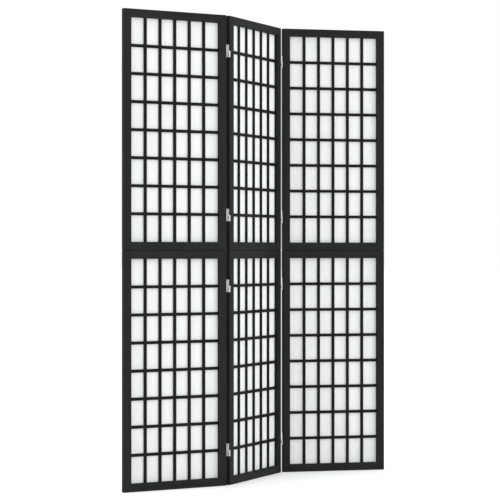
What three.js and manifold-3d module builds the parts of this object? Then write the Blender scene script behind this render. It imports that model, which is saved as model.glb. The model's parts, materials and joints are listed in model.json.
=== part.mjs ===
// A three-panel folding screen: two half frames to a panel, one above the other,
// each with a lattice of bars backed by paper, joined by two-way hinges.
// Millimetres. +Z is up, +X runs along the middle panel, and -Y is its front.
// The origin is the middle of the middle panel's foot, on the floor.
import * as THREE from "three";
import { mergeVertices } from "three/addons/utils/BufferGeometryUtils.js";
import Module from "manifold-3d";

const wasm = await Module();
wasm.setup();

// Panels
const PANEL_WIDTH = 404;
const PANEL_HEIGHT = 1700;
const PANEL_DEPTH = 18;
const STILE_WIDTH = 30;
const OUTER_RAIL_WIDTH = 29.5; // along the floor and along the top
const MIDDLE_RAIL_WIDTH = 30; // the two rails that meet at mid height
const EDGE_ROUND = 2.5;

// Lattice and paper
const COLUMNS = 6;
const ROWS = 8;
const BAR_WIDTH = 10.8;
const BAR_DEPTH = 6;
const BAR_RECESS = 8; // from the front of the frame to the front of the bars
const BAR_TENON = 5;
const PAPER_THICKNESS = 0.5;
const PAPER_MARGIN = 6; // glued to the frame all round the opening

// Frame joints
const TENON_LENGTH = 16;
const TENON_THICKNESS = 6;
const TENON_SHOULDER = 6; // on each side of a rail's tenon
const DOWEL_RADIUS = 4;
const DOWEL_RISE = 14;
const DOWEL_SPACING = 240;

// Hinges
const HINGE_INSET = 128; // from each end of a half frame to a hinge's centre
const LEAF_HEIGHT = 45;
const LEAF_THICKNESS = 1.2;
const LEAF_MARGIN = 1.4; // from a leaf's edge to the barrel that it passes
const TAB_LAP = 1; // how far a knuckle's tab runs on into its plate
const PIN_RADIUS = 0.9;
const PIN_CLEARANCE = 0.1;
const AXIS_STANDOFF = 0.6; // from a panel's face out to the axis of a barrel
const SCREW_HOLE_RADIUS = 1.7;
const SCREW_ACCESS_RADIUS = 3.6; // through the link, to reach the leaf behind it
const SCREW_SPACING = 26;

// Folds at rest, in degrees from a straight screen
const LEFT_FOLD = 34.2; // the left wing goes back
const RIGHT_FOLD = 50.1; // the right wing comes forward
const RIGHT_LINK_OPENING = 5; // the right links stand open from the middle panel

// Clearances and facets
const FIT = 0.3; // between neighbouring solids
const ROUND_STEPS = 2;
const BARREL_SIDES = 10;
const HOLE_SIDES = 6;
const DOWEL_SIDES = 10;

// Derived sizes
const HALF_HEIGHT = (PANEL_HEIGHT - FIT) / 2;
const FACE = PANEL_DEPTH / 2;
const OPENING_WIDTH = PANEL_WIDTH - 2 * STILE_WIDTH;
const BAR_FRONT = BAR_RECESS - FACE;
const BAR_BACK = BAR_FRONT + BAR_DEPTH;
const PANEL_GAP = 3 * LEAF_THICKNESS + 4 * FIT;
const AXIS_OFFSET = FACE + AXIS_STANDOFF;
const BARREL_RADIUS = PIN_RADIUS + PIN_CLEARANCE + LEAF_THICKNESS;
const LEAF_REACH = AXIS_OFFSET - BARREL_RADIUS - LEAF_MARGIN;
const KNUCKLE_LENGTH = (LEAF_HEIGHT / 2 - 3 * FIT) / 3;

const MATERIALS = {
  frame: new THREE.MeshStandardMaterial({ color: 0x2e2e2e, roughness: 0.55, metalness: 0 }),
  lattice: new THREE.MeshStandardMaterial({ color: 0x202322, roughness: 0.6, metalness: 0 }),
  paper: new THREE.MeshStandardMaterial({ color: 0xf3f5f4, roughness: 0.9, metalness: 0 }),
  hinge: new THREE.MeshStandardMaterial({ color: 0xb4b4b2, roughness: 0.35, metalness: 0.9 }),
};

// A closed geometry as a solid.
function solidOf(geometry) {
  geometry.deleteAttribute("normal");
  geometry.deleteAttribute("uv");
  const merged = mergeVertices(geometry, 1e-4);
  const vertProperties = merged.attributes.position.array;
  const triVerts = new Uint32Array(merged.index.array);
  return new wasm.Manifold(new wasm.Mesh({ numProp: 3, vertProperties, triVerts }));
}

// A solid as a named, coloured mesh.
function meshOf(name, solid, material) {
  const made = solid.getMesh();
  const geometry = new THREE.BufferGeometry();
  geometry.setAttribute("position", new THREE.BufferAttribute(made.vertProperties, 3));
  geometry.setIndex(new THREE.BufferAttribute(made.triVerts, 1));
  geometry.computeVertexNormals();
  const mesh = new THREE.Mesh(geometry, material);
  mesh.name = name;
  return mesh;
}

function block([x0, x1], [y0, y1], [z0, z1]) {
  const geometry = new THREE.BoxGeometry(x1 - x0, y1 - y0, z1 - z0);
  geometry.translate((x0 + x1) / 2, (y0 + y1) / 2, (z0 + z1) / 2);
  return solidOf(geometry);
}

// An upright cylinder from z0 to z1.
function upright(radius, sides, x, y, [z0, z1]) {
  const geometry = new THREE.CylinderGeometry(radius, radius, z1 - z0, sides);
  geometry.rotateX(Math.PI / 2);
  geometry.translate(x, y, (z0 + z1) / 2);
  return solidOf(geometry);
}

// The corners of a faceted bore whose flats clear a pin or dowel of the given radius.
function boreRadius(radius, sides) {
  return radius / Math.cos(Math.PI / sides);
}

// A rectangle about the origin with rounded corners.
function roundedRectangle(width, height, radius) {
  const x = width / 2 - radius;
  const y = height / 2 - radius;
  const shape = new THREE.Shape();
  shape.absarc(x, y, radius, 0, Math.PI / 2);
  shape.absarc(-x, y, radius, Math.PI / 2, Math.PI);
  shape.absarc(-x, -y, radius, Math.PI, 1.5 * Math.PI);
  shape.absarc(x, -y, radius, 1.5 * Math.PI, 2 * Math.PI);
  return shape;
}

// The rectangle drawn out to a bar about the origin, along Z.
function roundedBar(width, height, length) {
  const shape = roundedRectangle(width, height, EDGE_ROUND);
  const options = { depth: length, bevelEnabled: false, curveSegments: ROUND_STEPS };
  const geometry = new THREE.ExtrudeGeometry(shape, options);
  geometry.translate(0, 0, -length / 2);
  return geometry;
}

// The outside of a half frame, rounded along all its edges.
function halfOutside() {
  const plan = roundedBar(PANEL_WIDTH, PANEL_DEPTH, HALF_HEIGHT);
  const side = roundedBar(HALF_HEIGHT, PANEL_DEPTH, PANEL_WIDTH).rotateY(Math.PI / 2);
  const front = roundedBar(PANEL_WIDTH, HALF_HEIGHT, PANEL_DEPTH).rotateX(Math.PI / 2);
  const all = [plan, side, front].map((geometry) => solidOf(geometry.translate(0, 0, HALF_HEIGHT / 2)));
  return all[0].intersect(all[1]).intersect(all[2]);
}

// Centres of the bars between two sides of the opening.
function barCentres(low, high, count) {
  return Array.from({ length: count - 1 }, (_, i) => low + ((high - low) * (i + 1)) / count);
}

// The span of a bar, a mortise or a tenon about its centre.
function span(centre, width) {
  return [centre - width / 2, centre + width / 2];
}

function grow([low, high], by) {
  return [low - by, high + by];
}

// One half frame stands on z = 0. The rail widths are those of its bottom and top rails.
function halfLayout(bottomRail, topRail) {
  const opening = { x: [-OPENING_WIDTH / 2, OPENING_WIDTH / 2], z: [bottomRail, HALF_HEIGHT - topRail] };
  return {
    bottomRail,
    topRail,
    opening,
    uprights: barCentres(...opening.x, COLUMNS),
    crossbars: barCentres(...opening.z, ROWS),
  };
}

// The lattice: bars half lapped and glued into one grid, with a stub tenon at every end.
function lattice({ opening, uprights, crossbars }) {
  const reachX = grow(opening.x, BAR_TENON);
  const reachZ = grow(opening.z, BAR_TENON);
  const depth = [BAR_FRONT, BAR_BACK];
  const bars = [
    ...uprights.map((x) => block(span(x, BAR_WIDTH), depth, reachZ)),
    ...crossbars.map((z) => block(reachX, depth, span(z, BAR_WIDTH))),
  ];
  return bars.reduce((whole, bar) => whole.add(bar));
}

// The space that the lattice and its glued ends take out of the frame.
function latticeRoom({ opening, uprights, crossbars }) {
  const reachX = grow(opening.x, BAR_TENON + FIT);
  const reachZ = grow(opening.z, BAR_TENON + FIT);
  const depth = grow([BAR_FRONT, BAR_BACK], FIT);
  return [
    ...uprights.map((x) => block(grow(span(x, BAR_WIDTH), FIT), depth, reachZ)),
    ...crossbars.map((z) => block(reachX, depth, grow(span(z, BAR_WIDTH), FIT))),
  ].reduce((whole, bar) => whole.add(bar));
}

// The paper lies behind the bars, on a ledge that is cut into the back of the frame.
function paper({ opening }) {
  const front = BAR_BACK + FIT;
  const x = grow(opening.x, PAPER_MARGIN);
  const z = grow(opening.z, PAPER_MARGIN);
  return block(x, [front, front + PAPER_THICKNESS], z);
}

function paperRoom({ opening }) {
  const margin = PAPER_MARGIN + FIT;
  return block(grow(opening.x, margin), [BAR_BACK, PANEL_DEPTH], grow(opening.z, margin));
}

// The height that a rail's tenon takes, inside its shoulders.
function tenonSpan(low, width) {
  return [low + TENON_SHOULDER, low + width - TENON_SHOULDER];
}

function railTenons(low, width) {
  const reach = OPENING_WIDTH / 2 - FIT + TENON_LENGTH;
  return block([-reach, reach], span(0, TENON_THICKNESS), tenonSpan(low, width));
}

function railMortises(low, width) {
  const reach = OPENING_WIDTH / 2 + TENON_LENGTH;
  return block([-reach, reach], span(0, TENON_THICKNESS + 2 * FIT), grow(tenonSpan(low, width), FIT));
}

function stile(side, layout, outside, rooms) {
  const low = side * (PANEL_WIDTH / 2);
  const high = side * (OPENING_WIDTH / 2);
  const x = [Math.min(low, high), Math.max(low, high)];
  const { bottomRail, topRail } = layout;
  return block(x, [-FACE, FACE], [0, HALF_HEIGHT])
    .intersect(outside)
    .subtract(rooms)
    .subtract(railMortises(0, bottomRail))
    .subtract(railMortises(HALF_HEIGHT - topRail, topRail));
}

function rail(low, width, outside, rooms) {
  const reach = OPENING_WIDTH / 2 - FIT;
  return block([-reach, reach], [-FACE, FACE], [low, low + width])
    .intersect(outside)
    .subtract(rooms)
    .add(railTenons(low, width));
}

// Two dowels stand on the lower half and reach into blind holes in the upper half.
function dowels(radius, z, sides) {
  return [-1, 1]
    .map((side) => upright(radius, sides, (side * DOWEL_SPACING) / 2, 0, z))
    .reduce((whole, dowel) => whole.add(dowel));
}

const OUTSIDE = halfOutside();

// The six pieces of one half frame.
function halfFrame(name, bottomRail, topRail, joint) {
  const layout = halfLayout(bottomRail, topRail);
  const rooms = latticeRoom(layout).add(paperRoom(layout));
  const bottom = rail(0, bottomRail, OUTSIDE, rooms);
  const top = rail(HALF_HEIGHT - topRail, topRail, OUTSIDE, rooms);
  const group = new THREE.Group();
  group.add(
    meshOf(name + "_left_stile", stile(-1, layout, OUTSIDE, rooms), MATERIALS.frame),
    meshOf(name + "_right_stile", stile(1, layout, OUTSIDE, rooms), MATERIALS.frame),
    meshOf(name + "_bottom_rail", joint.bottom(bottom), MATERIALS.frame),
    meshOf(name + "_top_rail", joint.top(top), MATERIALS.frame),
    meshOf(name + "_lattice", lattice(layout), MATERIALS.lattice),
    meshOf(name + "_paper", paper(layout), MATERIALS.paper),
  );
  return group;
}

function lowerHalf(name) {
  const z = [HALF_HEIGHT - MIDDLE_RAIL_WIDTH / 2, HALF_HEIGHT + FIT + DOWEL_RISE];
  return halfFrame(name, OUTER_RAIL_WIDTH, MIDDLE_RAIL_WIDTH, {
    bottom: (solid) => solid,
    top: (solid) => solid.add(dowels(DOWEL_RADIUS, z, DOWEL_SIDES)),
  });
}

function upperHalf(name) {
  const radius = boreRadius(DOWEL_RADIUS + FIT, DOWEL_SIDES);
  const group = halfFrame(name, MIDDLE_RAIL_WIDTH, OUTER_RAIL_WIDTH, {
    bottom: (solid) => solid.subtract(dowels(radius, [-FIT, DOWEL_RISE + FIT], DOWEL_SIDES)),
    top: (solid) => solid,
  });
  group.position.z = HALF_HEIGHT + FIT;
  return group;
}

function panel(name) {
  const group = new THREE.Group();
  group.add(lowerHalf(name + "_lower"), upperHalf(name + "_upper"));
  return group;
}

// A hinge is drawn closed, between two panels that lie in one plane: x = 0 is the middle of
// the gap, y = 0 the middle of the panels' depth and z = 0 the middle of the hinge.
// Its front barrel fills its lower half and its rear barrel its upper half.
const FRONT_BARREL = { y: -AXIS_OFFSET, half: -1 };
const REAR_BARREL = { y: AXIS_OFFSET, half: 1 };

// The height of knuckle 0, 1 or 2 of a barrel, counted from the middle of the hinge.
function knuckleSpan(barrel, index) {
  const near = FIT + index * (KNUCKLE_LENGTH + FIT);
  const ends = [barrel.half * near, barrel.half * (near + KNUCKLE_LENGTH)];
  return [Math.min(...ends), Math.max(...ends)];
}

function barrelSpan(barrel) {
  const ends = [...knuckleSpan(barrel, 0), ...knuckleSpan(barrel, 2)];
  return [Math.min(...ends), Math.max(...ends)];
}

// A knuckle and the tab that carries it, out of the plate whose thickness spans x.
function knuckle(barrel, index, x) {
  const z = knuckleSpan(barrel, index);
  const inner = Math.sign(barrel.y) * (LEAF_REACH - TAB_LAP);
  const y = [Math.min(barrel.y, inner), Math.max(barrel.y, inner)];
  return upright(BARREL_RADIUS, BARREL_SIDES, 0, barrel.y, z).add(block(x, y, z));
}

function plate(x, holeRadius) {
  const whole = block(x, [-LEAF_REACH, LEAF_REACH], [-LEAF_HEIGHT / 2, LEAF_HEIGHT / 2]);
  const holes = [-1, 1].map((side) => {
    const geometry = new THREE.CylinderGeometry(holeRadius, holeRadius, PANEL_GAP, HOLE_SIDES);
    geometry.rotateZ(Math.PI / 2);
    geometry.translate((x[0] + x[1]) / 2, 0, (side * SCREW_SPACING) / 2);
    return solidOf(geometry);
  });
  return whole.subtract(holes[0]).subtract(holes[1]);
}

// A leaf is screwed to the panel on its side of the gap. It carries a barrel's outer knuckles,
// with the pin fixed in them.
function leaf(side, barrel) {
  const inner = side * (LEAF_THICKNESS / 2 + FIT);
  const outer = side * (1.5 * LEAF_THICKNESS + FIT);
  const x = [Math.min(inner, outer), Math.max(inner, outer)];
  return plate(x, SCREW_HOLE_RADIUS)
    .add(knuckle(barrel, 0, x))
    .add(knuckle(barrel, 2, x))
    .add(upright(PIN_RADIUS, BARREL_SIDES, 0, barrel.y, barrelSpan(barrel)));
}

// The link lies between the leaves and turns on both pins.
function link() {
  const x = [-LEAF_THICKNESS / 2, LEAF_THICKNESS / 2];
  const bore = boreRadius(PIN_RADIUS + PIN_CLEARANCE, BARREL_SIDES);
  const knuckles = [FRONT_BARREL, REAR_BARREL].map((barrel) =>
    knuckle(barrel, 1, x).subtract(upright(bore, BARREL_SIDES, 0, barrel.y, barrelSpan(barrel))),
  );
  return plate(x, SCREW_ACCESS_RADIUS).add(knuckles[0]).add(knuckles[1]);
}

// Heights of the four hinges of one joint, from the floor up.
const UPPER_HALF_FOOT = HALF_HEIGHT + FIT;
const HINGE_HEIGHTS = [
  HINGE_INSET,
  HALF_HEIGHT - HINGE_INSET,
  UPPER_HALF_FOOT + HINGE_INSET,
  UPPER_HALF_FOOT + HALF_HEIGHT - HINGE_INSET,
];
const HINGE_X = (PANEL_WIDTH + PANEL_GAP) / 2;

// One kind of hinge piece at all four heights, with x measured in the group that holds it.
function hingePieces(joint, kind, solid, x) {
  return HINGE_HEIGHTS.map((z, index) => {
    const mesh = meshOf([joint, "hinge", index + 1, kind].join("_"), solid, MATERIALS.hinge);
    mesh.position.set(x, 0, z);
    return mesh;
  });
}

const REAR_LEAF = leaf(-1, REAR_BARREL);
const FRONT_LEAF = leaf(1, FRONT_BARREL);
const LINK = link();

// A group that turns about a barrel of the joint at x, and holds what that barrel carries.
function turning(x, barrel, degrees, contents) {
  const pivot = new THREE.Group();
  pivot.position.set(x, barrel.y, 0);
  pivot.rotation.z = THREE.MathUtils.degToRad(degrees);
  const held = new THREE.Group();
  held.position.set(-x, -barrel.y, 0);
  held.add(...contents);
  pivot.add(held);
  return pivot;
}

function middlePanel() {
  const group = panel("middle");
  group.add(...hingePieces("left", "front_leaf", FRONT_LEAF, -HINGE_X));
  group.add(...hingePieces("right", "rear_leaf", REAR_LEAF, HINGE_X));
  return group;
}

// The left wing: links that lie against the middle panel, and the panel folded back on them.
function leftWing() {
  const wing = panel("left");
  wing.position.x = -2 * HINGE_X;
  wing.add(...hingePieces("left", "rear_leaf", REAR_LEAF, HINGE_X));
  const links = hingePieces("left", "link", LINK, -HINGE_X);
  const folded = turning(-HINGE_X, REAR_BARREL, -LEFT_FOLD, [wing]);
  return turning(-HINGE_X, FRONT_BARREL, 0, [...links, folded]);
}

// The right wing: links that stand a little open, and the panel folded forward on them.
function rightWing() {
  const wing = panel("right");
  wing.position.x = 2 * HINGE_X;
  wing.add(...hingePieces("right", "front_leaf", FRONT_LEAF, -HINGE_X));
  const links = hingePieces("right", "link", LINK, HINGE_X);
  const folded = turning(HINGE_X, FRONT_BARREL, -RIGHT_FOLD - RIGHT_LINK_OPENING, [wing]);
  return turning(HINGE_X, REAR_BARREL, RIGHT_LINK_OPENING, [...links, folded]);
}

const screen = new THREE.Group();
screen.add(middlePanel(), leftWing(), rightWing());

export default screen;
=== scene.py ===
import json
import math
import random

import bmesh
import bpy
from mathutils import Matrix, Vector

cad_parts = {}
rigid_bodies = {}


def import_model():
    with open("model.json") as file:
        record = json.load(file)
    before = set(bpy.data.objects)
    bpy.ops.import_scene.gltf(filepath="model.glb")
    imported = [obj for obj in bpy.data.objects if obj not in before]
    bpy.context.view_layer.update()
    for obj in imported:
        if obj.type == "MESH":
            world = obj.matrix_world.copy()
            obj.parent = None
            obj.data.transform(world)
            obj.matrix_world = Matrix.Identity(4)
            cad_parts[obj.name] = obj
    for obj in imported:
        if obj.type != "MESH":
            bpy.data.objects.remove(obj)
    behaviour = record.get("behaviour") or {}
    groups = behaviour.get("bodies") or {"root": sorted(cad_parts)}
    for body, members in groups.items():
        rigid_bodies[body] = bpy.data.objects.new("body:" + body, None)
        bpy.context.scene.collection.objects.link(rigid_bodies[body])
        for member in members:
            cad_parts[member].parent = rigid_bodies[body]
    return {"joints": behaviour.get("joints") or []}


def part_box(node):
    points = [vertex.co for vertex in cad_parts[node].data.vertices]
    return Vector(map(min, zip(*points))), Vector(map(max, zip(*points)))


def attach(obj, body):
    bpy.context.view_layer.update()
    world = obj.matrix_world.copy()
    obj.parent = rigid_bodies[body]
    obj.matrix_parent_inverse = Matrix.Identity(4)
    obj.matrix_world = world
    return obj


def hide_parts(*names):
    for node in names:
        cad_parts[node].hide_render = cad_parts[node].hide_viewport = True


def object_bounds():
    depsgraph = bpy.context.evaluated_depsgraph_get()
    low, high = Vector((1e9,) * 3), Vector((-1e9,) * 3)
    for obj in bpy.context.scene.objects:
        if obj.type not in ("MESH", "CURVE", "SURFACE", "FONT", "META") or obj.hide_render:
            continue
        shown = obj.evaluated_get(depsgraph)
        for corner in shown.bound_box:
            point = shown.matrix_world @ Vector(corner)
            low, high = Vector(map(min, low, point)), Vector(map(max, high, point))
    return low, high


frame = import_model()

CAD_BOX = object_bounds()
PANELS = ("left", "middle", "right")
HALVES = ("lower", "upper")
MEMBERS = ("left_stile", "right_stile", "bottom_rail", "top_rail")
ACROSS, UPRIGHT = 0, 2  # the axis that a grain runs along

# Lengths are in metres and angles in degrees

# Frame bars, lattice and dowels
OUTER_ROUND = 0.0025
OUTER_SEGMENTS = 5
EASED = 0.0004  # the small round on every other wooden edge
EASED_SEGMENTS = 2
COLUMNS = 6
ROWS = 8
BAR_WIDTH = 0.0108
BAR_TENON = 0.005
SOCKET_ROOM = 0.0003  # past a bar's end, a dowel's end and the paper's edge
LAP_PLAY = 0.00004  # beside a glued joint
DOWEL_RADIUS = 0.004
DOWEL_SPACING = 0.24
DOWEL_DEPTH = 0.014

# Meshes
SLIVER = 0.000002  # points closer than this are one point
SHARP = 60.0  # edges that turn more than this are eased
CREASE = 40.0  # edges that turn more than this are shaded as edges

# Paper
PAPER_THICKNESS = 0.0003
PAPER_STEPS = 6  # faces across a pane
PAPER_SAG = 0.0003  # at the middle of a pane, towards the back
SAG_SPREAD = 0.7  # under 1, the sag starts closer to the bars
PAPER_RIPPLE = 0.00008
RIPPLE_ACROSS = 0.066  # length of a ripple
RIPPLE_UPWARDS = 0.2  # length of a ripple

# Hinges
HINGES = 4
LEAF_HEIGHT = 0.045
LEAF_THICKNESS = 0.0012
LEAF_REACH = 0.006
LEAF_CORNER = 0.0012
CORNER_SEGMENTS = 4
LEAF_EASED = 0.0001
PLATE_PITCH = 0.0015  # between the middles of neighbouring plates
KNUCKLE_LENGTH = 0.0072
KNUCKLE_GAP = 0.0003
KNUCKLE_EASED = 0.00013
BARREL_RADIUS = 0.0022
TAB_END = 0.8  # of the way from the pin to the barrel's face, where a tab ends in the wall
PIN_RADIUS = 0.0009
PIN_HEAD_RADIUS = 0.0015
PIN_HEAD_HEIGHT = 0.0004
PIN_HEAD_ROUND = (0.8, 0.7)  # of its radius and height, where the head turns inwards
TURN_STEPS = 28  # faces round a pin, a knuckle or a screw

# Hinge screws
SCREW_SPACING = 0.026
SCREW_HOLE = 0.0017
SCREW_ACCESS = 0.0036  # through the link
SINK_RADIUS = 0.0029  # of the countersink, at the face of the leaf
SINK_DEPTH = 0.0011
SCREW_DOME = 0.0002
SCREW_DOME_ROUND = (0.6, 0.7)  # of its radius and height, where the dome turns inwards
SCREW_SHANK = 0.0014
SCREW_LENGTH = 0.011
SCREW_POINT = 0.7  # of its length, where the point starts
CROSS_WIDTH = 0.0006
CROSS_REACH = 0.0015
CROSS_DEPTH = 0.0008
CROSS_TURNS = (18.0, 61.0)  # how far each screw's cross is turned

# Camera and light
LENS = 122.45
SENSOR = 36.0
CAMERA_PLACE = (-5.57736, -3.00704, 0.8513)
CAMERA_HEADING = 28.472  # from +X towards +Y
LAMPS = {  # place, power and width
    "key": ((0.8, -6.0, 2.4), 78.0, 4.0),
    "side": ((-4.9, 3.1, 2.0), 80.0, 3.0),
}
LAMP_TARGET = (0.0, 0.0, 0.85)
WORLD_LIGHT = 1.15
FLOOR_REACH = 60.0
FLOOR_COLOUR = (0.9, 0.9, 0.9, 1)
FLOOR_GLOW = 0.15

# Patterns in the materials: the size of a feature, and the depth of its relief
GRAIN_SHIFT = 50.0  # the furthest that a piece's pattern is moved
GRAIN_SQUEEZE = 0.03  # how a pattern is scaled along the grain, which makes it long
WOOD_BAND = 0.0143
WOOD_FIBRE = 0.0021
WOOD_FIBRE_DEPTH = 0.0002
WOOD_PORE = 0.00043
WOOD_PORE_DEPTH = 0.00008
WOOD_CLOUD = 0.111
WOOD_CLOUD_DEPTH = 0.001
PAPER_STREAK = 0.0038
PAPER_STREAK_DEPTH = 0.0003
PAPER_BAND = 0.0167
PAPER_FIBRE = 0.0011
PAPER_FIBRE_DEPTH = 0.0001
PAPER_FIBRE_SQUEEZE = 0.3
PAPER_CLOUD = 0.045
BRUSHING = 0.00038
BRUSHING_DEPTH = 0.00005
BRUSHING_SQUEEZE = 0.04
METAL_CLOUD = 0.0063

# Colours, roughness and gloss
FRAME_DARK = (0.0035, 0.0035, 0.0035, 1)
FRAME_PALE = (0.0125, 0.0125, 0.0125, 1)
FRAME_RUBBED = (0.025, 0.025, 0.025, 1)
FRAME_GLOSS = 0.2
# The lattice bars are the frame's black wood painted darker: painted shade for their recess behind the
# frame's face
BAR_DARK_SHADED = (0.002, 0.003, 0.0027, 1)
BAR_PALE_SHADED = (0.007, 0.009, 0.0085, 1)
BAR_RUBBED_SHADED = (0.014, 0.018, 0.017, 1)
BAR_GLOSS = 0.12
WOOD_ROUGH = (0.56, 0.76)
PORE_COLOUR = (0.0014, 0.0014, 0.0014, 1)
PAPER_THIN = (0.83, 0.86, 0.85, 1)
PAPER_THICK = (0.93, 0.945, 0.94, 1)
PAPER_ROUGH = 0.85
PAPER_THROUGH = 0.3  # the share of light that comes through
NICKEL_DARK = (0.70, 0.70, 0.69, 1)
NICKEL_PALE = (0.82, 0.82, 0.81, 1)
NICKEL_ROUGH = (0.26, 0.42)


# ---------------------------------------------------------------- places
def opened(name):
    """The turn that takes a joint's child from the closed screen to where it stands at rest."""
    joint = next(j for j in frame["joints"] if j["name"] == name)
    place = Vector(joint["pos_m"])
    turn = Matrix.Rotation(-math.radians(joint["range_deg"][0]), 4, Vector(joint["axis"]))
    return Matrix.Translation(place) @ turn @ Matrix.Translation(-place)


def middle_of(node):
    low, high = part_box(node)
    return (Vector(low) + Vector(high)) / 2


HINGE_X = -middle_of("left_hinge_1_link").x
HINGE_Z = [middle_of(f"left_hinge_{i + 1}_link").z for i in range(HINGES)]
AXIS_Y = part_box("left_hinge_1_link")[1].y - BARREL_RADIUS
SEAM_Z = (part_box("middle_lower_left_stile")[1].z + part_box("middle_upper_left_stile")[0].z) / 2
LEFT_GAP = Matrix.Translation((-HINGE_X, 0, 0))
RIGHT_GAP = Matrix.Translation((HINGE_X, 0, 0))
LEFT_LINKS = opened("left_front_barrel")
RIGHT_LINKS = opened("right_rear_barrel")
PLACES = {
    "middle": Matrix.Identity(4),
    "left": opened("left_rear_barrel") @ LEFT_LINKS @ LEFT_GAP @ LEFT_GAP,
    "right": opened("right_front_barrel") @ RIGHT_LINKS @ RIGHT_GAP @ RIGHT_GAP,
}


# ---------------------------------------------------------------- meshes
def add_block(bm, low, high):
    """An axis-aligned block between two corners."""
    verts = bmesh.ops.create_cube(bm, size=1)["verts"]
    bmesh.ops.scale(bm, vec=[b - a for a, b in zip(low, high)], verts=verts)
    bmesh.ops.translate(bm, vec=[(a + b) / 2 for a, b in zip(low, high)], verts=verts)


def add_turned(bm, profile, place, ring=False):
    """A solid turned about the place's Z from radii and heights, from axis to axis or as a ring."""
    loops = []
    for radius, height in profile:
        if radius == 0:
            loops.append([bm.verts.new(place @ Vector((0, 0, height)))] * TURN_STEPS)
            continue
        turns = [2 * math.pi * k / TURN_STEPS for k in range(TURN_STEPS)]
        points = [Vector((radius * math.cos(t), radius * math.sin(t), height)) for t in turns]
        loops.append([bm.verts.new(place @ point) for point in points])
    if ring:
        loops.append(loops[0])
    for a, b in zip(loops, loops[1:]):
        for k in range(TURN_STEPS):
            m = (k + 1) % TURN_STEPS
            bm.faces.new(list(dict.fromkeys((a[k], a[m], b[m], b[k]))))


def add_rod(bm, radius, z0, z1, place):
    add_turned(bm, [(0, z0), (radius, z0), (radius, z1), (0, z1)], place)


def bevel(bm, edges, width, segments):
    bmesh.ops.bevel(bm, geom=edges, offset=width, segments=segments, profile=0.5, affect="EDGES")


def sharp_edges(bm):
    return [e for e in bm.edges if len(e.link_faces) == 2 and e.calc_face_angle(0) > math.radians(SHARP)]


def mesh_of(bm, name):
    bmesh.ops.recalc_face_normals(bm, faces=bm.faces)
    mesh = bpy.data.meshes.new(name)
    bm.to_mesh(mesh)
    bm.free()
    return mesh


def smooth(mesh):
    for polygon in mesh.polygons:
        polygon.use_smooth = True
    mesh.set_sharp_from_angle(angle=math.radians(CREASE))
    return mesh


def carve(mesh, cutters):
    """The mesh with each of the cutter meshes taken out of it."""
    scene = bpy.context.scene.collection.objects
    body = bpy.data.objects.new("carving", mesh)
    scene.link(body)
    tools = []
    for cutter in cutters:
        tool = bpy.data.objects.new("cutter", cutter)
        scene.link(tool)
        modifier = body.modifiers.new("cut", "BOOLEAN")
        modifier.operation = "DIFFERENCE"
        modifier.solver = "EXACT"
        modifier.object = tool
        tools.append(tool)
    bpy.context.view_layer.update()
    evaluated = body.evaluated_get(bpy.context.evaluated_depsgraph_get())
    bm = bmesh.new()
    bm.from_mesh(bpy.data.meshes.new_from_object(evaluated))
    bmesh.ops.dissolve_degenerate(bm, dist=SLIVER, edges=bm.edges)
    for done in [body, *tools]:
        bpy.data.objects.remove(done)
    return mesh_of(bm, "carved")


def piece(name, mesh, place, body, materials, replaces=()):
    """A named piece at its place in the frame, which rides on a body."""
    mesh = mesh.copy()
    mesh.name = name
    mesh.materials.clear()
    for material in materials:
        mesh.materials.append(material)
    seed = mesh.attributes.new("grain_seed", "FLOAT", "POINT")
    value = random.Random(name).uniform(0, GRAIN_SHIFT)
    seed.data.foreach_set("value", [value] * len(mesh.vertices))
    made = bpy.data.objects.new(name, mesh)
    bpy.context.scene.collection.objects.link(made)
    made.matrix_world = place
    made.modifiers.new("even_normals", "WEIGHTED_NORMAL").keep_sharp = True
    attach(made, body)
    if replaces:
        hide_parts(*replaces)
    return made


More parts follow.
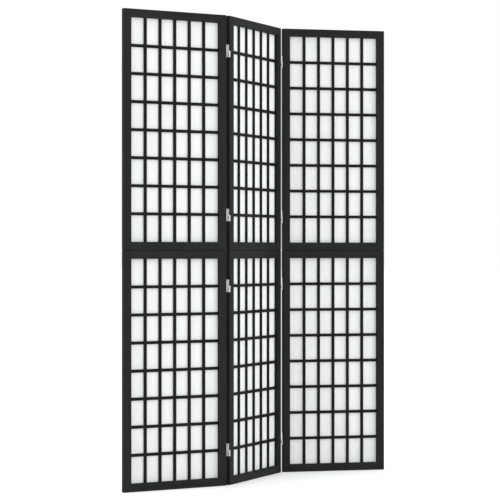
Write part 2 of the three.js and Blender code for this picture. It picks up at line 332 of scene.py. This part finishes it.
# ---------------------------------------------------------------- materials
class Nodes:
    """Lays out the nodes of one material or world. Each call gives back a socket."""

    def __init__(self, owner):
        owner.use_nodes = True
        self.tree = owner.node_tree
        self.tree.nodes.clear()

    def add(self, kind, inputs=None, output=0, **settings):
        node = self.tree.nodes.new(kind)
        for key, value in settings.items():
            setattr(node, key, value)
        for key, value in (inputs or {}).items():
            if isinstance(value, bpy.types.NodeSocket):
                self.tree.links.new(value, node.inputs[key])
            else:
                node.inputs[key].default_value = value
        return node.outputs[output] if node.outputs else None

    def math(self, operation, a, b):
        return self.add("ShaderNodeMath", {0: a, 1: b}, operation=operation)

    def blend(self, parts):
        """The sum of sockets, each times its share."""
        total = 0.0
        for socket, share in parts:
            total = self.math("ADD", total, self.math("MULTIPLY", socket, share))
        return total

    def ramp(self, value, low, high, out_low=0.0, out_high=1.0):
        ends = {"From Min": low, "From Max": high, "To Min": out_low, "To Max": out_high}
        return self.add("ShaderNodeMapRange", {"Value": value, **ends})

    def mix(self, share, a, b):
        """From colour a to colour b. A colour mix has its own sockets, after those for numbers."""
        return self.add("ShaderNodeMix", {0: share, 6: a, 7: b}, output=2, data_type="RGBA")

    def place(self, stretch=(1.0, 1.0, 1.0)):
        """Object coordinates, stretched, and shifted by the piece's own seed."""
        own = self.add("ShaderNodeTexCoord", output="Object")
        seed = self.add("ShaderNodeAttribute", output="Fac", attribute_name="grain_seed")
        moved = self.add("ShaderNodeVectorMath", {0: own, 1: seed}, operation="ADD")
        return self.add("ShaderNodeMapping", {"Vector": moved, "Scale": stretch})

    def noise(self, place, size, detail=3.0, roughness=0.5, distortion=0.0):
        """Noise whose features are about the given size in metres."""
        form = {"Detail": detail, "Roughness": roughness, "Distortion": distortion}
        return self.add("ShaderNodeTexNoise", {"Vector": place, "Scale": 1 / size, **form})

    def bump(self, heights):
        """A normal bent by several heights, each with its strength and its depth in metres."""
        normal = self.add("ShaderNodeNewGeometry", output="Normal")
        for height, strength, depth in heights:
            inputs = {"Height": height, "Strength": strength, "Distance": depth, "Normal": normal}
            normal = self.add("ShaderNodeBump", inputs)
        return normal

    def seen(self):
        """1 on rays from the camera, from a reflection or through glass, and 0 on the rest."""
        rays = ("Is Camera Ray", "Is Glossy Ray", "Is Transmission Ray")
        sockets = [self.add("ShaderNodeLightPath", output=ray) for ray in rays]
        return self.math("MAXIMUM", self.math("MAXIMUM", *sockets[:2]), sockets[2])


def black_wood(name, along, dark, pale, rubbed, gloss):
    """Black stained wood: bands, fibres and open pores along one axis, and lightly rubbed edges."""
    material = bpy.data.materials.new(name)
    n = Nodes(material)
    grain = n.place([GRAIN_SQUEEZE if axis == along else 1.0 for axis in range(3)])
    bands = n.noise(grain, WOOD_BAND, distortion=0.8)
    fibres = n.noise(grain, WOOD_FIBRE, detail=5.0, roughness=0.65, distortion=0.3)
    fine = n.noise(grain, WOOD_PORE, detail=2.0, roughness=0.6)
    cloud = n.noise(n.place(), WOOD_CLOUD, detail=2.0)
    pores = n.math("MULTIPLY", n.ramp(fine, 0.56, 0.7), n.ramp(fibres, 0.4, 0.6))
    tone = n.ramp(n.blend([(fibres, 0.5), (bands, 0.5), (cloud, 0.25)]), 0.45, 0.8)
    colour = n.mix(tone, dark, pale)
    colour = n.mix(n.math("MULTIPLY", pores, 0.6), colour, PORE_COLOUR)
    edge = n.ramp(n.add("ShaderNodeNewGeometry", output="Pointiness"), 0.53, 0.62)
    worn = n.math("MULTIPLY", edge, n.ramp(cloud, 0.45, 0.65, 0.0, 0.5))
    colour = n.mix(worn, colour, rubbed)
    rough = n.ramp(n.blend([(fibres, 0.6), (cloud, 0.4)]), 0.35, 0.65, *WOOD_ROUGH)
    rough = n.math("ADD", rough, n.math("MULTIPLY", pores, 0.12))
    solid = n.math("SUBTRACT", 1.0, pores)
    normal = n.bump([
        (fibres, 0.35, WOOD_FIBRE_DEPTH),
        (solid, 0.4, WOOD_PORE_DEPTH),
        (cloud, 0.15, WOOD_CLOUD_DEPTH),
    ])
    look = {"Base Color": colour, "Roughness": rough, "Specular IOR Level": gloss, "Normal": normal}
    n.add("ShaderNodeOutputMaterial", {"Surface": n.add("ShaderNodeBsdfPrincipled", look)})
    return material


def shoji_paper():
    """White fibrous paper: long fibres that run down the sheet, and light that comes through."""
    material = bpy.data.materials.new("shoji_paper")
    n = Nodes(material)
    down = n.place((1.0, 1.0, GRAIN_SQUEEZE))
    short = n.place((1.0, 1.0, PAPER_FIBRE_SQUEEZE))
    streaks = n.noise(down, PAPER_STREAK, detail=4.0, roughness=0.6, distortion=0.4)
    wide = n.noise(down, PAPER_BAND, detail=2.0)
    fibres = n.noise(short, PAPER_FIBRE, roughness=0.7, distortion=2.0)
    cloud = n.noise(n.place(), PAPER_CLOUD)
    tone = n.blend([(streaks, 0.45), (wide, 0.25), (fibres, 0.2), (cloud, 0.1)])
    colour = n.mix(n.ramp(tone, 0.36, 0.64), PAPER_THIN, PAPER_THICK)
    normal = n.bump([(streaks, 0.15, PAPER_STREAK_DEPTH), (fibres, 0.12, PAPER_FIBRE_DEPTH)])
    look = {
        "Base Color": colour,
        "Roughness": PAPER_ROUGH,
        "Specular IOR Level": 0.2,
        "Sheen Weight": 0.1,
        "Normal": normal,
    }
    front = n.add("ShaderNodeBsdfPrincipled", look)
    through = n.add("ShaderNodeBsdfTranslucent", {"Color": colour, "Normal": normal})
    both = n.add("ShaderNodeMixShader", {0: PAPER_THROUGH, 1: front, 2: through})
    n.add("ShaderNodeOutputMaterial", {"Surface": both})
    return material


def satin_nickel():
    """Satin nickel plate: fine brushing, and a slightly uneven gloss."""
    material = bpy.data.materials.new("hinge_metal")
    n = Nodes(material)
    brushed = n.noise(n.place((1.0, 1.0, BRUSHING_SQUEEZE)), BRUSHING, roughness=0.6)
    cloud = n.noise(n.place(), METAL_CLOUD)
    tone = n.blend([(brushed, 0.6), (cloud, 0.4)])
    look = {
        "Base Color": n.mix(n.ramp(tone, 0.35, 0.65), NICKEL_DARK, NICKEL_PALE),
        "Metallic": 1.0,
        "Roughness": n.ramp(tone, 0.3, 0.7, *NICKEL_ROUGH),
        "Normal": n.bump([(brushed, 0.12, BRUSHING_DEPTH)]),
    }
    n.add("ShaderNodeOutputMaterial", {"Surface": n.add("ShaderNodeBsdfPrincipled", look)})
    return material


def frame_wood(name, along):
    return black_wood(name, along, FRAME_DARK, FRAME_PALE, FRAME_RUBBED, FRAME_GLOSS)


# The frame's wood with darker colours, which are painted shade for the lattice's recess
def shaded_lattice_wood(name, along):
    return black_wood(name, along, BAR_DARK_SHADED, BAR_PALE_SHADED, BAR_RUBBED_SHADED, BAR_GLOSS)


UPRIGHT_WOOD = frame_wood("frame_wood_upright", UPRIGHT)
ACROSS_WOOD = frame_wood("frame_wood_across", ACROSS)
# Darker copies of the frame's wood for the lattice bars: painted recess shade
UPRIGHT_SHADED_BAR_WOOD = shaded_lattice_wood("shaded_lattice_wood_upright", UPRIGHT)
ACROSS_SHADED_BAR_WOOD = shaded_lattice_wood("shaded_lattice_wood_across", ACROSS)
PAPER = shoji_paper()
METAL = satin_nickel()


# ---------------------------------------------------------------- half frames
class Half:
    """The sizes of a half frame, read from the middle panel, whose own axes are the frame's."""

    def __init__(self, half):
        self.half = half
        self.boxes = {part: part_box(f"middle_{half}_{part}") for part in (*MEMBERS, "lattice", "paper")}
        self.low = Vector(self.boxes["left_stile"][0])
        self.high = Vector(self.boxes["right_stile"][1])
        if half == "lower":
            self.high.z = SEAM_Z
        else:
            self.low.z = SEAM_Z
        low, high = self.boxes["lattice"]
        self.x = (low.x + BAR_TENON, high.x - BAR_TENON)  # of the opening
        self.z = (low.z + BAR_TENON, high.z - BAR_TENON)
        self.uprights = bar_centres(self.x, COLUMNS)
        self.crossbars = bar_centres(self.z, ROWS)

    def outer_planes(self, vert):
        """Which outer planes of the half frame a corner lies on."""
        pairs = zip((*vert.co, *vert.co), (*self.low, *self.high))
        return {i for i, (a, b) in enumerate(pairs) if abs(a - b) < SLIVER}


def bar_centres(ends, count):
    low, high = ends
    return [low + (high - low) * (i + 1) / count for i in range(count - 1)]


def upright_sockets(h):
    """The room that the ends of the upright bars take in the rails."""
    bm = bmesh.new()
    low, high = (Vector(v) for v in h.boxes["lattice"])
    wide = BAR_WIDTH / 2 + LAP_PLAY
    for x in h.uprights:
        near = (x - wide, low.y - LAP_PLAY, low.z - SOCKET_ROOM)
        add_block(bm, near, (x + wide, high.y + LAP_PLAY, high.z + SOCKET_ROOM))
    return mesh_of(bm, "upright_sockets")


def cross_sockets(h):
    """The room that the ends of the cross bars take in the stiles."""
    bm = bmesh.new()
    low, high = (Vector(v) for v in h.boxes["lattice"])
    wide = BAR_WIDTH / 2 + LAP_PLAY
    for z in h.crossbars:
        near = (low.x - SOCKET_ROOM, low.y - LAP_PLAY, z - wide)
        add_block(bm, near, (high.x + SOCKET_ROOM, high.y + LAP_PLAY, z + wide))
    return mesh_of(bm, "cross_sockets")


def paper_rebate(h):
    """The step in the back of the frame that holds the paper."""
    bm = bmesh.new()
    low, high = (Vector(v) for v in h.boxes["paper"])
    near = (low.x - SOCKET_ROOM, h.boxes["lattice"][1].y, low.z - SOCKET_ROOM)
    add_block(bm, near, (high.x + SOCKET_ROOM, 2 * h.high.y, high.z + SOCKET_ROOM))
    return mesh_of(bm, "paper_rebate")


def dowel_places():
    return [Matrix.Translation((side * DOWEL_SPACING / 2, 0, SEAM_Z)) for side in (-1, 1)]


def dowel_holes():
    bm = bmesh.new()
    for place in dowel_places():
        add_rod(bm, DOWEL_RADIUS + LAP_PLAY, -SOCKET_ROOM, DOWEL_DEPTH + SOCKET_ROOM, place)
    return mesh_of(bm, "dowel_holes")


def dowels():
    """Two dowels, glued in the lower half's top rail, that locate the upper half."""
    bm = bmesh.new()
    for place in dowel_places():
        add_rod(bm, DOWEL_RADIUS, -DOWEL_DEPTH, DOWEL_DEPTH, place)
    bevel(bm, sharp_edges(bm), EASED, EASED_SEGMENTS)
    return smooth(mesh_of(bm, "dowels"))


def member(h, part):
    """A stile or rail: round outside, eased inside, with its bar sockets and the paper's rebate."""
    low, high = (Vector(v) for v in h.boxes[part])
    if part.endswith("rail"):  # from stile to stile, without the tenons that the stiles hide
        low.x = h.boxes["left_stile"][1].x
        high.x = h.boxes["right_stile"][0].x
    if part != "top_rail":
        low.z = h.low.z
    if part != "bottom_rail":
        high.z = h.high.z
    bm = bmesh.new()
    add_block(bm, low, high)
    outer = [e for e in bm.edges if len(set.intersection(*map(h.outer_planes, e.verts))) > 1]
    bevel(bm, outer, OUTER_ROUND, OUTER_SEGMENTS)
    bevel(bm, sharp_edges(bm), EASED, EASED_SEGMENTS)
    cutters = [upright_sockets(h), cross_sockets(h), paper_rebate(h)]
    if h.half == "upper" and part == "bottom_rail":
        cutters.append(dowel_holes())
    return smooth(carve(mesh_of(bm, part), cutters))


def notched_bar(length, depth, crossings, side):
    """A bar that stands on 0, with half-lap notches in its back (side 1) or its front (side -1)."""
    wide = BAR_WIDTH / 2 + LAP_PLAY
    floor = (sum(depth) + side * LAP_PLAY) / 2  # of a notch
    plain, cut = depth[::side]
    outline = [(plain, 0.0), (plain, length), (cut, length)]
    for z in reversed(crossings):
        outline += [(cut, z + wide), (floor, z + wide), (floor, z - wide), (cut, z - wide)]
    outline.append((cut, 0.0))
    bm = bmesh.new()
    face = bm.faces.new([bm.verts.new((-BAR_WIDTH / 2, y, z)) for y, z in outline])
    drawn = bmesh.ops.extrude_face_region(bm, geom=[face])["geom"]
    moved = [v for v in drawn if isinstance(v, bmesh.types.BMVert)]
    bmesh.ops.translate(bm, vec=(BAR_WIDTH, 0, 0), verts=moved)
    bmesh.ops.recalc_face_normals(bm, faces=bm.faces)
    bevel(bm, sharp_edges(bm), EASED, EASED_SEGMENTS)
    return mesh_of(bm, "bar")


def lattice(h):
    """Upright bars notched behind and cross bars notched in front, half lapped into one grid."""
    low, high = (Vector(v) for v in h.boxes["lattice"])
    depth = (low.y, high.y)
    upright = notched_bar(high.z - low.z, depth, [z - low.z for z in h.crossbars], 1)
    across = notched_bar(high.x - low.x, depth, [x - low.x for x in h.uprights], -1)
    across.transform(Matrix.Rotation(math.pi / 2, 4, "Y"))
    placed = [(upright, (x, 0, low.z), 0) for x in h.uprights]
    placed += [(across, (low.x, 0, z), 1) for z in h.crossbars]
    bm = bmesh.new()
    for mesh, place, slot in placed:
        first = len(bm.faces)
        bar = mesh.copy()
        bar.transform(Matrix.Translation(place))
        bm.from_mesh(bar)
        for face in list(bm.faces)[first:]:
            face.material_index = slot
    return smooth(mesh_of(bm, "lattice"))


def pane_share(value, ends, count):
    """0 at the edges of a pane and 1 at its middle, and 0 outside the opening."""
    low, high = ends
    t = (value - low) / (high - low) * count
    return math.sin(math.pi * (t % 1)) ** SAG_SPREAD if 0 < t < count else 0.0


def sheet_steps(low, high, ends, count):
    """Even steps over the opening, and one more on each side for the glued margin."""
    near, far = ends
    return [low, *(near + (far - near) * i / count for i in range(count + 1)), high]


def paper(h, phase):
    """One thin sheet, glued to the backs of the bars, that sags a little in every pane."""
    low, high = (Vector(v) for v in h.boxes["paper"])
    front = h.boxes["lattice"][1].y + LAP_PLAY

    def point(x, z):
        share = pane_share(x, h.x, COLUMNS) * pane_share(z, h.z, ROWS)
        wave = math.sin(2 * math.pi * x / RIPPLE_ACROSS + phase)
        wave *= math.sin(2 * math.pi * z / RIPPLE_UPWARDS + 2 * phase)
        return (x, front + share * (PAPER_SAG + PAPER_RIPPLE * wave), z)

    bm = bmesh.new()
    across = sheet_steps(low.x, high.x, h.x, COLUMNS * PAPER_STEPS)
    upwards = sheet_steps(low.z, high.z, h.z, ROWS * PAPER_STEPS)
    rows = [[bm.verts.new(point(x, z)) for x in across] for z in upwards]
    for below, above in zip(rows, rows[1:]):
        for i in range(len(across) - 1):
            bm.faces.new((below[i], below[i + 1], above[i + 1], above[i]))
    back = bmesh.ops.extrude_face_region(bm, geom=list(bm.faces))["geom"]
    moved = [v for v in back if isinstance(v, bmesh.types.BMVert)]
    bmesh.ops.translate(bm, vec=(0, PAPER_THICKNESS, 0), verts=moved)
    return smooth(mesh_of(bm, "paper"))


def dress_half(half, panel, members, grid, sheet):
    """The frame, lattice and paper of one half of one panel."""
    stem, body, place = f"{panel}_{half}_", f"{panel}_panel", PLACES[panel]
    for part, mesh in members.items():
        wood = UPRIGHT_WOOD if part.endswith("stile") else ACROSS_WOOD
        piece(stem + part + "_finished", mesh, place, body, [wood], [stem + part])
    woods = [UPRIGHT_SHADED_BAR_WOOD, ACROSS_SHADED_BAR_WOOD]
    piece(stem + "lattice_bars", grid, place, body, woods, [stem + "lattice"])
    made = piece(stem + "paper_sheet", sheet, place, body, [PAPER], [stem + "paper"])
    if half == "lower":
        piece(stem + "dowels", dowels(), place, body, [UPRIGHT_WOOD])


def dress_panels():
    for half in HALVES:
        h = Half(half)
        members = {part: member(h, part) for part in MEMBERS}
        grid = lattice(h)
        for i, panel in enumerate(PANELS):
            dress_half(half, panel, members, grid, paper(h, i))


# ---------------------------------------------------------------- hinges
def knuckle_span(end, index):
    """The heights of knuckle 0, 1 or 2, from the hinge's middle to its lower (-1) or upper (1) end."""
    near = KNUCKLE_GAP + index * (KNUCKLE_LENGTH + KNUCKLE_GAP)
    return sorted((end * near, end * (near + KNUCKLE_LENGTH)))


def screw_places(side):
    """Where the screws stand: their Z points away from the gap, into a panel's edge."""
    face = PLATE_PITCH - LEAF_THICKNESS / 2
    turn = Matrix.Rotation(side * math.pi / 2, 4, "Y")
    heights = (-SCREW_SPACING / 2, SCREW_SPACING / 2)
    return [Matrix.Translation((side * face, 0, z)) @ turn for z in heights]


def plate(x):
    """A flat plate with rounded corners."""
    bm = bmesh.new()
    half = LEAF_THICKNESS / 2
    add_block(bm, (x - half, -LEAF_REACH, -LEAF_HEIGHT / 2), (x + half, LEAF_REACH, LEAF_HEIGHT / 2))
    corners = [e for e in bm.edges if abs(e.verts[0].co.x - e.verts[1].co.x) > half]
    bevel(bm, corners, LEAF_CORNER, CORNER_SEGMENTS)
    bevel(bm, sharp_edges(bm), LEAF_EASED, 1)
    return mesh_of(bm, "plate")


def leaf_plate(side):
    """A leaf's plate, with two countersunk holes."""
    holes = bmesh.new()
    over = KNUCKLE_GAP / 2  # the cutter starts clear of the face
    wide = SINK_RADIUS + over * (SINK_RADIUS - SCREW_HOLE) / SINK_DEPTH
    through = 2 * LEAF_THICKNESS
    profile = [(0, -over), (wide, -over), (SCREW_HOLE, SINK_DEPTH), (SCREW_HOLE, through), (0, through)]
    for place in screw_places(side):
        add_turned(holes, profile, place)
    return carve(plate(side * PLATE_PITCH), [mesh_of(holes, "holes")])


def link_plate():
    """The link's plate, with two holes that let a screwdriver through."""
    holes = bmesh.new()
    for place in screw_places(1):
        add_rod(holes, SCREW_ACCESS, -3 * LEAF_THICKNESS, LEAF_THICKNESS, place)
    return carve(plate(0.0), [mesh_of(holes, "holes")])


def add_knuckle(bm, end, index, axis_y, x, bore):
    """A knuckle, and the tab of the plate that it is rolled from."""
    z0, z1 = knuckle_span(end, index)
    eased = BARREL_RADIUS - KNUCKLE_EASED
    profile = [
        (bore, z0),
        (eased, z0),
        (BARREL_RADIUS, z0 + KNUCKLE_EASED),
        (BARREL_RADIUS, z1 - KNUCKLE_EASED),
        (eased, z1),
        (bore, z1),
    ]
    add_turned(bm, profile, Matrix.Translation((0, axis_y, 0)), ring=True)
    sign = math.copysign(1, axis_y)
    inside = TAB_END * math.sqrt(BARREL_RADIUS**2 - x**2)
    y0, y1 = sorted((sign * (LEAF_REACH - LEAF_THICKNESS), axis_y - sign * inside))
    half = LEAF_THICKNESS / 2
    add_block(bm, (x - half, y0, z0), (x + half, y1, z1))


def add_pin(bm, end, axis_y):
    """The pin, with a low domed head on the hinge's outer end."""
    near = KNUCKLE_GAP
    far = max(abs(z) for z in knuckle_span(end, 2))
    wide, high = PIN_HEAD_ROUND
    profile = [
        (0, near),
        (PIN_RADIUS, near),
        (PIN_RADIUS, far),
        (PIN_HEAD_RADIUS, far),
        (wide * PIN_HEAD_RADIUS, far + high * PIN_HEAD_HEIGHT),
        (0, far + PIN_HEAD_HEIGHT),
    ]
    place = Matrix.Translation((0, axis_y, 0)) @ Matrix.Scale(end, 4, (0, 0, 1))
    add_turned(bm, profile, place)


def hinge_leaf(side, axis_y, end):
    """A leaf: its plate, the two outer knuckles of its barrel, and the pin that is fixed in them."""
    bm = bmesh.new()
    bm.from_mesh(leaf_plate(side))
    for index in (0, 2):
        add_knuckle(bm, end, index, axis_y, side * PLATE_PITCH, PIN_RADIUS)
    add_pin(bm, end, axis_y)
    return smooth(mesh_of(bm, "leaf"))


def hinge_link():
    """The link: its plate, and the middle knuckle of both barrels."""
    bm = bmesh.new()
    bm.from_mesh(link_plate())
    add_knuckle(bm, -1, 1, -AXIS_Y, 0.0, PIN_RADIUS + LAP_PLAY)
    add_knuckle(bm, 1, 1, AXIS_Y, 0.0, PIN_RADIUS + LAP_PLAY)
    return smooth(mesh_of(bm, "link"))


def screws(side):
    """Two countersunk screws with a cross in the head, driven from the gap into a panel's edge."""
    bodies, crosses = bmesh.new(), (bmesh.new(), bmesh.new())
    head = SINK_RADIUS - LAP_PLAY
    wide, high = SCREW_DOME_ROUND
    profile = [
        (0, -SCREW_DOME),
        (wide * head, -high * SCREW_DOME),
        (head, 0),
        (SCREW_SHANK, SINK_DEPTH),
        (SCREW_SHANK, SCREW_POINT * SCREW_LENGTH),
        (0, SCREW_LENGTH),
    ]
    for place, degrees in zip(screw_places(side), CROSS_TURNS):
        add_turned(bodies, profile, place)
        for quarter, cross in enumerate(crosses):
            turn = Matrix.Rotation(math.radians(degrees + 90 * quarter), 4, "Z")
            first = len(cross.verts)
            far = (CROSS_REACH, CROSS_WIDTH / 2, CROSS_DEPTH)
            add_block(cross, (-CROSS_REACH, -CROSS_WIDTH / 2, -2 * SCREW_DOME), far)
            bmesh.ops.transform(cross, matrix=place @ turn, verts=list(cross.verts)[first:])
    return smooth(carve(mesh_of(bodies, "screws"), [mesh_of(cross, "cross") for cross in crosses]))


def dress_hinges():
    parts = (  # fold, part, where it stands and the body that it rides on
        ("left", "front_leaf", LEFT_GAP, "middle_panel"),
        ("left", "link", LEFT_LINKS @ LEFT_GAP, "left_links"),
        ("left", "rear_leaf", PLACES["left"] @ RIGHT_GAP, "left_panel"),
        ("right", "rear_leaf", RIGHT_GAP, "middle_panel"),
        ("right", "link", RIGHT_LINKS @ RIGHT_GAP, "right_links"),
        ("right", "front_leaf", PLACES["right"] @ LEFT_GAP, "right_panel"),
    )
    meshes = {
        "front_leaf": hinge_leaf(1, -AXIS_Y, -1),
        "rear_leaf": hinge_leaf(-1, AXIS_Y, 1),
        "link": hinge_link(),
    }
    fixings = {"front_leaf": screws(1), "rear_leaf": screws(-1)}
    for i, z in enumerate(HINGE_Z):
        lift = Matrix.Translation((0, 0, z))
        for fold, part, gap, body in parts:
            node = f"{fold}_hinge_{i + 1}_{part}"
            place = gap @ lift
            piece(node + "_finished", meshes[part], place, body, [METAL], [node])
            if part in fixings:
                piece(node + "_screws", fixings[part], place, body, [METAL])


# ---------------------------------------------------------------- stage
def make_world():
    """Even white light, and plain white wherever it is seen."""
    world = bpy.data.worlds.new("studio")
    bpy.context.scene.world = world
    n = Nodes(world)
    light = n.add("ShaderNodeBackground", {"Color": (1, 1, 1, 1), "Strength": WORLD_LIGHT})
    white = n.add("ShaderNodeBackground", {"Color": (1, 1, 1, 1), "Strength": 1.0})
    both = n.add("ShaderNodeMixShader", {0: n.seen(), 1: light, 2: white})
    n.add("ShaderNodeOutputWorld", {"Surface": both})


def make_floor():
    """A white floor that keeps the object's soft shadow."""
    bm = bmesh.new()
    bmesh.ops.create_grid(bm, x_segments=1, y_segments=1, size=FLOOR_REACH)
    bmesh.ops.translate(bm, vec=(0, 0, CAD_BOX[0].z), verts=bm.verts)
    floor = bpy.data.objects.new("floor", mesh_of(bm, "floor"))
    bpy.context.scene.collection.objects.link(floor)
    material = bpy.data.materials.new("floor_white")
    n = Nodes(material)
    lit = n.add("ShaderNodeBsdfDiffuse", {"Color": FLOOR_COLOUR})
    glow = n.add("ShaderNodeEmission", {"Strength": n.math("MULTIPLY", n.seen(), FLOOR_GLOW)})
    n.add("ShaderNodeOutputMaterial", {"Surface": n.add("ShaderNodeAddShader", {0: lit, 1: glow})})
    floor.data.materials.append(material)


def aimed(name, data, place, direction):
    """A camera or lamp at a place, turned to look along a direction."""
    made = bpy.data.objects.new(name, data)
    bpy.context.scene.collection.objects.link(made)
    made.location = place
    made.rotation_mode = "QUATERNION"
    made.rotation_quaternion = Vector(direction).to_track_quat("-Z", "Y")
    return made


def make_lamps():
    for name, (place, power, width) in LAMPS.items():
        data = bpy.data.lights.new(name, "AREA")
        data.energy = power
        data.size = width
        aimed(name, data, place, Vector(LAMP_TARGET) - Vector(place))


def make_camera():
    data = bpy.data.cameras.new("camera")
    data.sensor_width = SENSOR
    data.lens = LENS
    heading = math.radians(CAMERA_HEADING)
    direction = (math.cos(heading), math.sin(heading), 0)
    bpy.context.scene.camera = aimed("camera", data, CAMERA_PLACE, direction)


make_camera()
make_world()
make_lamps()
make_floor()
dress_panels()
dress_hinges()
bpy.context.scene.view_settings.view_transform = "Standard"
